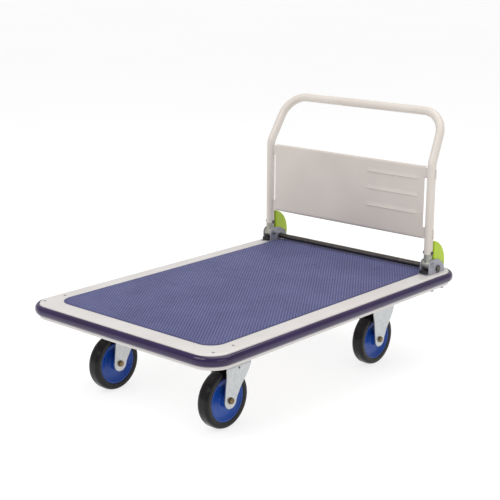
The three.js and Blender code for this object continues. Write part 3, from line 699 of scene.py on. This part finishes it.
def fork_sheet(x, axle_y, crown, front_top, rear_top, lip):
    """A pressed fork: one sheet over the wheel, with a lip turned in along its back edge."""

    def chord(z):
        """Half the width of the round end about the axle, full above the axle."""
        low = max(min(z, WHEEL_RADIUS), WHEEL_RADIUS - FORK_EYE)
        return math.sqrt(max(FORK_EYE ** 2 - (WHEEL_RADIUS - low) ** 2, 1))

    def front(z):
        share = max(z - WHEEL_RADIUS, 0) / (crown - WHEEL_RADIUS)
        return axle_y - chord(z) + (front_top - axle_y + FORK_EYE) * share

    def rear(z):
        share = min(max(z - WHEEL_RADIUS, 0) / (FORK_BACK_BOTTOM - WHEEL_RADIUS), 1)
        eased = 0.62 * share + 0.38 * math.sin(share * math.pi / 2) ** 2
        return axle_y + chord(z) + (rear_top - axle_y - FORK_EYE) * eased

    def swage(y, z):
        """How deep the shallow groove up the middle of a leg is pressed in."""
        middle = axle_y + (rear_top + front_top - 2 * axle_y) * 0.30
        low, high = WHEEL_RADIUS + 30, 178
        across = max(1 - abs(y - middle) / 13, 0)
        inside = min(max((z - low) / 14, 0), 1) * min(max((high - z) / 10, 0), 1)
        return 2.6 * inside * across * across * (3 - 2 * across)

    grid = []
    for px, pz, (ox, oz) in fork_section(x, crown):
        row = []
        y0, y1 = front(pz), rear(pz)
        depth = lip * min(max((pz - 108) / 30, 0), 1)
        turn = min(4.0, depth)
        columns = 18
        for k in range(columns + 1):
            y = y0 + (y1 - turn - y0) * k / columns
            sink = swage(y, pz) * abs(ox)
            row.append((px - ox * sink, y, pz - oz * sink))
        for k in range(1, 5):
            angle = math.pi / 2 * k / 4
            y = y1 - turn + turn * math.sin(angle)
            sink = turn * (1 - math.cos(angle))
            row.append((px - ox * sink, y + 0.002 * k, pz - oz * sink))
        row.append((px - ox * (depth + 0.01), y1 + 0.01, pz - oz * (depth + 0.01)))
        grid.append(row)
    return shell(grid, FORK_SHEET)


def build_swivel(side, x):
    body = f"swivel_{side}"
    crown = CROWN_BOTTOM + 2.5
    fork = fork_sheet(x, FRONT_AXLE_Y, crown, FRONT_AXLE_Y - 13, KINGPIN_Y + 50, lip=11)
    top = CROWN_BOTTOM + 3.5
    seat = turned(rounded([
        (8, top), (34, top, 1), (31, top + 11, 5), (24, top + 15.2, 2), (8, top + 15.2),
    ], closed=False), (x, KINGPIN_Y, 0), "Z", 48)
    make(
        f"swivel_fork_{side}_pressed", *both(fork, seat), ZINC, body,
        [f"swivel_fork_{side}"], smooth=40,
    )
    rivets = [
        dome(3.6, 1.4, (x + flip * 31.7, KINGPIN_Y - 3, CROWN_BOTTOM - 10), "X", flip)
        for flip in (-1, 1)
    ]
    make(f"swivel_fork_{side}_rivets", *both(*rivets), DARK_STEEL, body)
    low, high = CROWN_BOTTOM + 19.4, MOUNT_HEIGHT - 5.7
    race = rounded([
        (7.4, low), (27, low, 1), (31, low + 3, 2), (35.6, low + 6, 2), (36, high - 3, 3),
        (32, high, 1), (7.4, high),
    ], closed=False)
    make(
        f"swivel_race_{side}_turned", *turned(race, (x, KINGPIN_Y, 0), "Z", 64), ZINC,
        body, [f"swivel_race_{side}"],
    )
    pin = turned(
        [(0, 182), (6.8, 182), (6.8, 231), (0, 231)], (x, KINGPIN_Y, 0), "Z", 32,
        closed=False,
    )
    nut = hexagon(17, 7.4, (x, KINGPIN_Y, CROWN_BOTTOM - 0.4), "Z", -1)
    make(f"kingpin_{side}_bolt", *both(pin, nut), DARK_STEEL, "deck", [f"kingpin_{side}"])
    build_plate(f"swivel_plate_{side}_stamped", x, KINGPIN_Y, [f"swivel_plate_{side}"])
    build_wheel(f"front_{side}", f"wheel_front_{side}", body, (x, FRONT_AXLE_Y, WHEEL_RADIUS))


def build_plate(name, x, y, replaced):
    """A caster's top plate and its four bolts."""
    top = MOUNT_HEIGHT - GAP
    corner, washer = 10, 1.2
    outline = rounded([
        (u, v, corner) for u, v in box_outline(
            x - PLATE_HALF[0], x + PLATE_HALF[0], y - PLATE_HALF[1], y + PLATE_HALF[1],
        )
    ])
    sheet = extruded(outline, top - PLATE_SHEET, top, "XY")
    make(name, *sheet, ZINC, "deck", replaced, soft=0.5)
    heads = []
    for sx in (-1, 1):
        for sy in (-1, 1):
            spot = Vector((
                x + sx * PLATE_BOLTS[0], y + sy * PLATE_BOLTS[1], top - PLATE_SHEET,
            ))
            heads.append(disc(8, washer, spot, "Z", -1))
            heads.append(hexagon(13, 5.3, spot - Vector((0, 0, washer)), "Z", -1))
    make(f"{name}_bolts", *both(*heads), BRASS, "deck")


def build_rigid(side, x):
    crown = MOUNT_HEIGHT - 7.6
    fork = fork_sheet(x, REAR_AXLE_Y, crown, REAR_AXLE_Y - 42, RIGID_Y + 56, lip=14)
    make(
        f"rigid_fork_{side}_pressed", *fork, ZINC, "deck", [f"rigid_fork_{side}"],
        smooth=40,
    )
    build_plate(f"rigid_plate_{side}_stamped", x, RIGID_Y, [])
    build_wheel(f"rear_{side}", f"wheel_rear_{side}", "deck", (x, REAR_AXLE_Y, WHEEL_RADIUS))


# ---- handle -------------------------------------------------------------------------------

BEND_TANGENT = BEND_RADIUS * math.tan(LEAN / 2)
BEND_START = BEND_HEIGHT - BEND_TANGENT
LEAN_START = BEND_START - TUBE_END + BEND_RADIUS * LEAN
LEAN_TOP = LEAN_START + (GRIP_HEIGHT - BEND_HEIGHT) / math.cos(LEAN) - BEND_TANGENT


def along_leg(distance):
    """The leg's (y, z) at a distance from its lower end."""
    straight = BEND_START - TUBE_END
    if distance <= straight:
        return PIVOT_Y, TUBE_END + distance
    turn = min((distance - straight) / BEND_RADIUS, LEAN)
    beyond = max(distance - LEAN_START, 0)
    return (
        PIVOT_Y + BEND_RADIUS * (1 - math.cos(turn)) + beyond * math.sin(LEAN),
        BEND_START + BEND_RADIUS * math.sin(turn) + beyond * math.cos(LEAN),
    )


def drawn_in(distance):
    """How far a leg tapers inwards, starting gently along the bend's arc."""
    beyond = max(distance - (BEND_START - TUBE_END), 0)
    arc = BEND_RADIUS * LEAN
    return GRIP_TAPER * (beyond ** 2 / (2 * arc) if beyond < arc else beyond - arc / 2)


def build_tube():
    half = [(LEG_X, 0), (LEG_X, BEND_START - TUBE_END)]
    half += [(LEG_X, BEND_START - TUBE_END + BEND_RADIUS * LEAN * k / 8) for k in range(1, 9)]
    for k in range(17):
        turn = math.pi / 2 * k / 16
        half.append((
            LEG_X - GRIP_CORNER * (1 - math.cos(turn)),
            LEAN_TOP - GRIP_CORNER + GRIP_CORNER * math.sin(turn),
        ))
    half = [(x - drawn_in(s), s) for x, s in half]
    line = half + [(-x, s) for x, s in reversed(half)]
    points = [Vector((x, *along_leg(s))) for x, s in line]
    make("handle_tube_bent", *sweep(points, TUBE_RADIUS, 48), TUBE_CREAM, "handle", ["handle_tube"])


def sweep(points, radius, sides):
    """A round section carried along points, mitred at each, with flat ends."""
    rings = []
    across = Vector((0, 1, 0))
    for i, point in enumerate(points):
        before = (point - points[max(i - 1, 0)]).normalized()
        after = (points[min(i + 1, len(points) - 1)] - point).normalized()
        along = (before + after).normalized()
        across = (across - along * along.dot(across)).normalized()
        third = along.cross(across)
        rings.append([
            point + across * radius * math.cos(2 * math.pi * k / sides)
            + third * radius * math.sin(2 * math.pi * k / sides) for k in range(sides)
        ])
    return loft(rings)


def panel_swell(x, z):
    """How far the panel's pressed ribs stand forward at a point."""
    depth, fade, lip = 3.2, 10, 1.6
    ends = min(max((x - RIB_SPAN[0]) / fade, 0), 1) * min(max((RIB_SPAN[1] - x) / fade, 0), 1)
    for level in RIBS:
        up = z - level
        if -lip < up < RIB_HEIGHT:
            edge = min((up + lip) / lip, 1) if up < 0 else (1 - up / RIB_HEIGHT) ** 1.3
            return depth * edge * ends
    return 0


def panel_section():
    """The panel's (y, z) points, from its lower flange up its face to its upper flange."""
    middle = PANEL_FRONT + PANEL_SHEET / 2
    back = PANEL_FRONT + PANEL_FLANGE
    low, high = PANEL_BOTTOM + PANEL_SHEET / 2, PANEL_TOP - PANEL_SHEET / 2
    bend, top_bend = 8, 3
    section = [(back, low), (middle + bend + 1, low), (middle + bend, low)]
    for k in range(1, 7):
        angle = math.pi / 2 * k / 6
        section.append((
            middle + bend * (1 - math.sin(angle)), low + bend * (1 - math.cos(angle)),
        ))
    levels = {low + bend + (high - low - bend - top_bend) * k / 40 for k in range(1, 40)}
    for level in RIBS:
        levels |= {level + up for up in (-1.7, -1.0, -0.3, 0.2, 1.5, 4, 7, 10, RIB_HEIGHT)}
    section += [(middle, z) for z in sorted(levels)]
    for k in range(5):
        angle = math.pi / 2 * k / 4
        section.append((
            middle + top_bend * (1 - math.cos(angle)), high - top_bend * (1 - math.sin(angle)),
        ))
    return section + [(middle + 8, high), (back, high)]


def panel_columns():
    """Where the panel's grid is cut across, closest together at the ends of the ribs."""
    columns = [-PANEL_HALF + 20 * k for k in range(21)]
    columns += [RIB_SPAN[0] + 2.5 * k for k in range(5)] + [100 + 10 * k for k in range(19)]
    columns += [RIB_SPAN[1] - 10 + 2.5 * k for k in range(5)] + [300, 308, PANEL_HALF]
    return sorted(set(columns))


def build_panel():
    face = PANEL_FRONT + PANEL_SHEET / 2
    grid = [
        [(x, y - (panel_swell(x, z) if y == face else 0), z) for x in panel_columns()]
        for y, z in panel_section()
    ]
    parts = [shell(grid, PANEL_SHEET)]
    tabs = ((PANEL_BOTTOM, PANEL_BOTTOM + LOWER_TAB_HEIGHT), (PANEL_TOP - TAB_HEIGHT, PANEL_TOP))
    for sign in (-1, 1):
        for low, high in tabs:
            inner, outer = sorted((sign * (PANEL_HALF - 2), sign * (LEG_X - 14.5)))
            parts.append(extruded(
                box_outline(inner, outer, low + 3, high - 3),
                PANEL_FRONT + 0.05, PANEL_FRONT + PANEL_SHEET - 0.05, "XZ",
            ))
    make("handle_panel_pressed", *both(*parts), BEIGE, "handle", ["handle_panel"], smooth=30)


def build_saddle(level, side, sign, low):
    """A strap around the back of a leg, with an ear and a screw on its inner end."""
    x = sign * LEG_X
    ear = PANEL_FRONT + PANEL_SHEET + 1.3
    path = []
    for k in range(13):
        angle = math.radians(-3 + 178 * k / 12)
        radius = TUBE_RADIUS + 1.3
        path.append((x + sign * radius * math.cos(angle), PIVOT_Y + radius * math.sin(angle)))
    path += [(x - sign * 16.6, ear + 0.4), (x - sign * 18.4, ear)]
    path += [(x - sign * 22, ear), (x - sign * 27, ear)]
    levels = [low + 0.1, low + 10, low + 20, low + 29.9]
    grid = [[(px, py, z) for px, py in path] for z in levels]
    name = f"panel_saddle_{level}_{side}"
    make(f"{name}_strap", *shell(grid, 1.8), TUBE_CREAM, "handle", [name], soft=0.3)
    screw = dome(3.6, 2.2, (x - sign * 22.5, ear + 0.9, low + 15), "Y")
    make(f"{name}_screw", *screw, ZINC, "handle")


# ---- hinges -------------------------------------------------------------------------------


def sector(radius, front, front_drop, rear_drop, steps=24):
    """The hinge cover's side view: a round back, and a lower edge that steps over the bar."""
    start, end = math.acos(front / radius), -math.asin(rear_drop / radius)
    points = []
    for k in range(steps + 1):
        angle = start + (end - start) * k / steps
        points.append((PIVOT_Y + radius * math.cos(angle), PIVOT_Z + radius * math.sin(angle)))
    points.append((PIVOT_Y + COVER_STEP[1], PIVOT_Z - rear_drop))
    points.append((PIVOT_Y + COVER_STEP[0], PIVOT_Z - front_drop))
    points.append((PIVOT_Y + front, PIVOT_Z - front_drop))
    return points


def build_cover(side, x):
    half, front = 14.1, TUBE_RADIUS + 0.6
    outer = extruded(sector(COVER_RADIUS, front, *COVER_DROP), x - half, x + half, "YZ")
    piece = make(f"hinge_cover_{side}_moulded", *outer, GREEN, "handle", [f"hinge_cover_{side}"])
    soften(piece, 2.6, segments=4, angle=50)
    hollow = extruded(
        sector(COVER_RADIUS - COVER_WALL, front + COVER_WALL, COVER_DROP[0] + 5, THROUGH),
        x - half + COVER_WALL, x + half - COVER_WALL, "YZ",
    )
    room = shaft(BARREL_RADIUS + 0.9, THROUGH, (x, PIVOT_Y, PIVOT_Z), 64)
    heel = extruded(
        box_outline(PIVOT_Y, PIVOT_Y + 29, PIVOT_Z - THROUGH, PIVOT_Z + 9),
        x - THROUGH, x + THROUGH, "YZ",
    )
    boolean(piece, [hollow, room, heel])
    shade(piece.data)
    rivets = []
    for flip in (-1, 1):
        rivets.append(dome(4, 1.6, (x + flip * half, PIVOT_Y + 66, PIVOT_Z - 4), "X", flip))
    make(f"hinge_cover_{side}_rivets", *both(*rivets), DARK_STEEL, "handle")


def build_foot(side, x):
    bore, half = PIN_RADIUS + 0.4, BARREL_HALF
    barrel = turned(rounded([
        (bore, -half), (BARREL_RADIUS, -half, 1), (BARREL_RADIUS, half, 1), (bore, half),
    ], closed=False), (x, PIVOT_Y, PIVOT_Z), "X", 64)
    piece = make(f"handle_foot_{side}_cast", *barrel, FOOT_METAL, "handle", [f"handle_foot_{side}"])
    neck = turned(rounded([
        (0, PIVOT_Z + 8), (14.1, PIVOT_Z + 8), (14.1, TUBE_END - GAP, 1.2),
        (SPIGOT_RADIUS, TUBE_END - GAP), (SPIGOT_RADIUS, TUBE_END + 21), (0, TUBE_END + 21),
    ], closed=False), (x, PIVOT_Y, 0), "Z", 64, closed=False)
    heel = extruded(rounded([
        (PIVOT_Y + 6, PIVOT_Z - 18), (PIVOT_Y + 18, PIVOT_Z - 20.5, 2),
        (PIVOT_Y + 26.5, PIVOT_Z - 6, 2), (PIVOT_Y + 18, PIVOT_Z + 6),
    ]), x - half, x + half, "YZ")
    boolean(piece, [neck, heel], "UNION")
    soften(piece, 0.5)


def build_foot_bolt(side, x):
    parts = [shaft(3.9, 15, (x, PIVOT_Y, COVER_BOLT_Z), 24)]
    for flip in (-1, 1):
        parts.append(dome(6.4, 4.2, (x + flip * 14.6, PIVOT_Y, COVER_BOLT_Z), "X", flip))
    make(f"foot_bolt_{side}_set", *both(*parts), DARK_STEEL, "handle", [f"foot_bolt_{side}"])


def bracket_outline():
    """A side plate: round about the pivot, level over the bar, then falling to the deck."""
    radius = BRACKET_NOSE
    points = [(PIVOT_Y - radius, BRACKET_BASE), (PIVOT_Y - radius, PIVOT_Z)]
    for k in range(1, 9):
        angle = math.pi - math.pi / 2 * k / 8
        points.append((PIVOT_Y + radius * math.cos(angle), PIVOT_Z + radius * math.sin(angle)))
    points.append((PIVOT_Y + 24, PIVOT_Z + radius - 1))
    start, pull = Vector(points[-1]), Vector((PIVOT_Y + 48, PIVOT_Z + radius - 4))
    end = Vector((PIVOT_Y + BRACKET_BACK - 10, PIVOT_Z - 8))
    for k in range(1, 9):
        t = k / 8
        points.append(tuple(
            start * (1 - t) ** 2 + pull * 2 * t * (1 - t) + end * t * t
        ))
    points.append((PIVOT_Y + BRACKET_BACK, BRACKET_BASE))
    return points


def slot_outline():
    """The slot that the release bar slides in."""
    radius, points = ROD_RADIUS + GAP, []
    for k in range(32):
        angle = math.pi / 2 + 2 * math.pi * k / 32
        shift = ROD_TRAVEL + GAP if math.cos(angle) > 0.001 else 0
        points.append((
            ROD_Y + shift + radius * math.cos(angle), ROD_Z + radius * math.sin(angle),
        ))
    return points


def build_bracket(side, x):
    inner, outer, base = BRACKET_INNER, BRACKET_OUTER, BRACKET_BASE
    outline = bracket_outline()
    floor = extruded(
        box_outline(PIVOT_Y - BRACKET_FRONT, PIVOT_Y + BRACKET_BACK, base, base + BASE_SHEET),
        x - outer, x + outer, "YZ",
    )
    piece = make(
        f"hinge_bracket_{side}_folded", *floor, BRACKET_GREY, "deck",
        [f"hinge_bracket_{side}"],
    )
    sides = [extruded(outline, x + a, x + b, "YZ") for a, b in ((-outer, -inner), (inner, outer))]
    lug = extruded(
        box_outline(*LUG_Y, base + 1, ROD_Z + 4), x - LUG_HALF, x + LUG_HALF, "YZ",
    )
    boolean(piece, [*sides, lug], "UNION")
    slot = slot_outline()
    reaches = ((-outer - 5, -inner + 3), (inner - 3, outer + 5))
    boolean(piece, [extruded(slot, x + a, x + b, "YZ") for a, b in reaches])
    soften(piece, 0.7)
    bolt = hexagon(12, 4, (x, PIVOT_Y + BRACKET_BACK - 10, base + BASE_SHEET), "Z")
    make(f"hinge_bracket_{side}_bolt", *bolt, ZINC, "deck")


def build_pin(side, x):
    reach = BRACKET_OUTER + GAP
    parts = [shaft(PIN_RADIUS, reach, (x, PIVOT_Y, PIVOT_Z), 32)]
    for flip in (-1, 1):
        parts.append(dome(8.8, 2.4, (x + flip * reach, PIVOT_Y, PIVOT_Z), "X", flip))
    make(f"hinge_pin_{side}_riveted", *both(*parts), PIN_STEEL, "deck", [f"hinge_pin_{side}"])


def build_stop(side, x):
    """The rubber pad that the handle foot rests on, hollowed to clear the barrel."""
    low, high = BRACKET_BASE + BASE_SHEET + GAP, PIVOT_Z - TUBE_RADIUS - 0.9
    arc = []
    for k in range(9):
        angle = math.radians(262 - 5 * k)
        arc.append((
            PIVOT_Y + (BARREL_RADIUS + 0.9) * math.cos(angle),
            PIVOT_Z + (BARREL_RADIUS + 0.9) * math.sin(angle),
        ))
    front, back = PIVOT_Y - 27, PIVOT_Y - 13.1
    outline = [(front, low), (back, low)]
    outline += [p for p in arc if low < p[1] < high and p[0] < back] + [(front, high)]
    make(
        f"stop_pad_{side}_moulded", *extruded(outline, x - 13.8, x + 13.8, "YZ"), RUBBER,
        "deck", [f"stop_pad_{side}"], soft=1.2,
    )


def build_spring(side, x):
    """A coil between the release bar and the lug."""
    start, end = ROD_Y + ROD_RADIUS + 0.6, LUG_Y[0] - 0.6
    turns, steps, radius, wire = 5, 14, 4.2, 0.7
    points = []
    for k in range(turns * steps + 1):
        share = k / (turns * steps)
        angle = 2 * math.pi * turns * share
        points.append(Vector((
            x + radius * math.cos(angle), start + wire + (end - start - 2 * wire) * share,
            ROD_Z - 2 + radius * math.sin(angle),
        )))
    piece = make(
        f"lock_spring_{side}_coil", *sweep(points, wire, 8), SPRING_STEEL, "deck",
        [f"lock_spring_{side}"],
    )
    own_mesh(piece)


def build_release_bar():
    end = LEG_X + BRACKET_OUTER + 1
    profile = rounded([
        (0, -end - 4.4), (10.8, -end - 4.4, 1.5), (10.8, -end, 0.6), (ROD_RADIUS, -end),
        (ROD_RADIUS, end), (10.8, end, 0.6), (10.8, end + 4.4, 1.5), (0, end + 4.4),
    ], closed=False)
    make(
        "release_bar_turned", *turned(profile, (0, ROD_Y, ROD_Z), "X", 40, closed=False),
        DARK_STEEL, "release", ["release_bar"],
    )


# ---- underframe: the CAD plates, with softened edges ---------------------------------------


def dress_underframe():
    for name in (
        "front_cross_channel", "rear_cross_channel", "deck_rail_left", "deck_rail_right",
    ):
        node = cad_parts[name]
        node.data.materials.clear()
        node.data.materials.append(CREAM)
        edge = node.modifiers.new("edge", "BEVEL")
        edge.width = 1.0 * MM
        edge.segments = 2
        edge.limit_method = "ANGLE"


build_deck()
build_bumper()
build_mat()
build_rim_rivets()
build_flange_nuts()
for side, sign in SIDES:
    build_swivel(side, sign * CASTER_X)
    build_rigid(side, sign * CASTER_X)
    x = sign * LEG_X
    build_bracket(side, x)
    build_pin(side, x)
    build_stop(side, x)
    build_spring(side, x)
    build_foot(side, x)
    build_foot_bolt(side, x)
    build_cover(side, x)
    build_saddle("lower", side, sign, PANEL_BOTTOM + 4)
    build_saddle("upper", side, sign, PANEL_TOP - TAB_HEIGHT)
build_tube()
build_panel()
build_release_bar()
dress_underframe()

# ---- studio -------------------------------------------------------------------------------


def build_floor():
    mesh = bpy.data.meshes.new("floor")
    far = 40
    points = [(-far, -far, 0), (far, -far, 0), (far, far, 0), (-far, far, 0)]
    mesh.from_pydata(points, [], [(0, 1, 2, 3)])
    paper = Finish("floor_paper")
    paper.color(paper.noise(0.4), (156, 156, 156), (160, 160, 160))
    paper.shader.inputs["Roughness"].default_value = 0.9
    paper.shader.inputs["Emission Color"].default_value = (1, 1, 1, 1)
    paper.shader.inputs["Emission Strength"].default_value = 0.75
    mesh.materials.append(paper.material)
    floor = bpy.data.objects.new("floor", mesh)
    bpy.context.collection.objects.link(floor)


def build_light(name, place, target, size, watts):
    lamp = bpy.data.lights.new(name, "AREA")
    lamp.shape = "RECTANGLE"
    lamp.size, lamp.size_y = size
    lamp.energy = watts
    light = bpy.data.objects.new(name, lamp)
    light.location = place
    direction = Vector(target) - Vector(place)
    light.rotation_euler = direction.to_track_quat("-Z", "Y").to_euler()
    bpy.context.collection.objects.link(light)


build_floor()
build_light("key", (-0.6, -3.2, 3.4), (0, 0, 0.3), (3.0, 2.0), 56)
build_light("top", (0.5, 0.8, 4.2), (0, 0, 0.3), (4.0, 4.0), 88)
build_light("side", (4.0, -1.0, 1.6), (0, 0, 0.3), (2.5, 1.6), 12)

world = bpy.data.worlds.new("studio")
bpy.context.scene.world = world
world.use_nodes = True
world.node_tree.nodes["Background"].inputs["Color"].default_value = (1, 1, 1, 1)
world.node_tree.nodes["Background"].inputs["Strength"].default_value = 0.55
bpy.context.scene.view_settings.view_transform = "Standard"

# ---- camera -------------------------------------------------------------------------------

CAMERA_PLACE = (2.399, -2.755, 1.359)
CAMERA_TURN = 41.27
CAMERA_PITCH = 14.54
CAMERA_ROLL = 0.291

lens = bpy.data.cameras.new("camera")
lens.sensor_width = 36
lens.lens = 85.3
camera = bpy.data.objects.new("camera", lens)
turn = (
    Matrix.Rotation(math.radians(CAMERA_TURN), 4, "Z")
    @ Matrix.Rotation(math.radians(90 - CAMERA_PITCH), 4, "X")
    @ Matrix.Rotation(math.radians(CAMERA_ROLL), 4, "Z")
)
camera.matrix_world = Matrix.Translation(CAMERA_PLACE) @ turn
bpy.context.collection.objects.link(camera)
bpy.context.scene.camera = camera
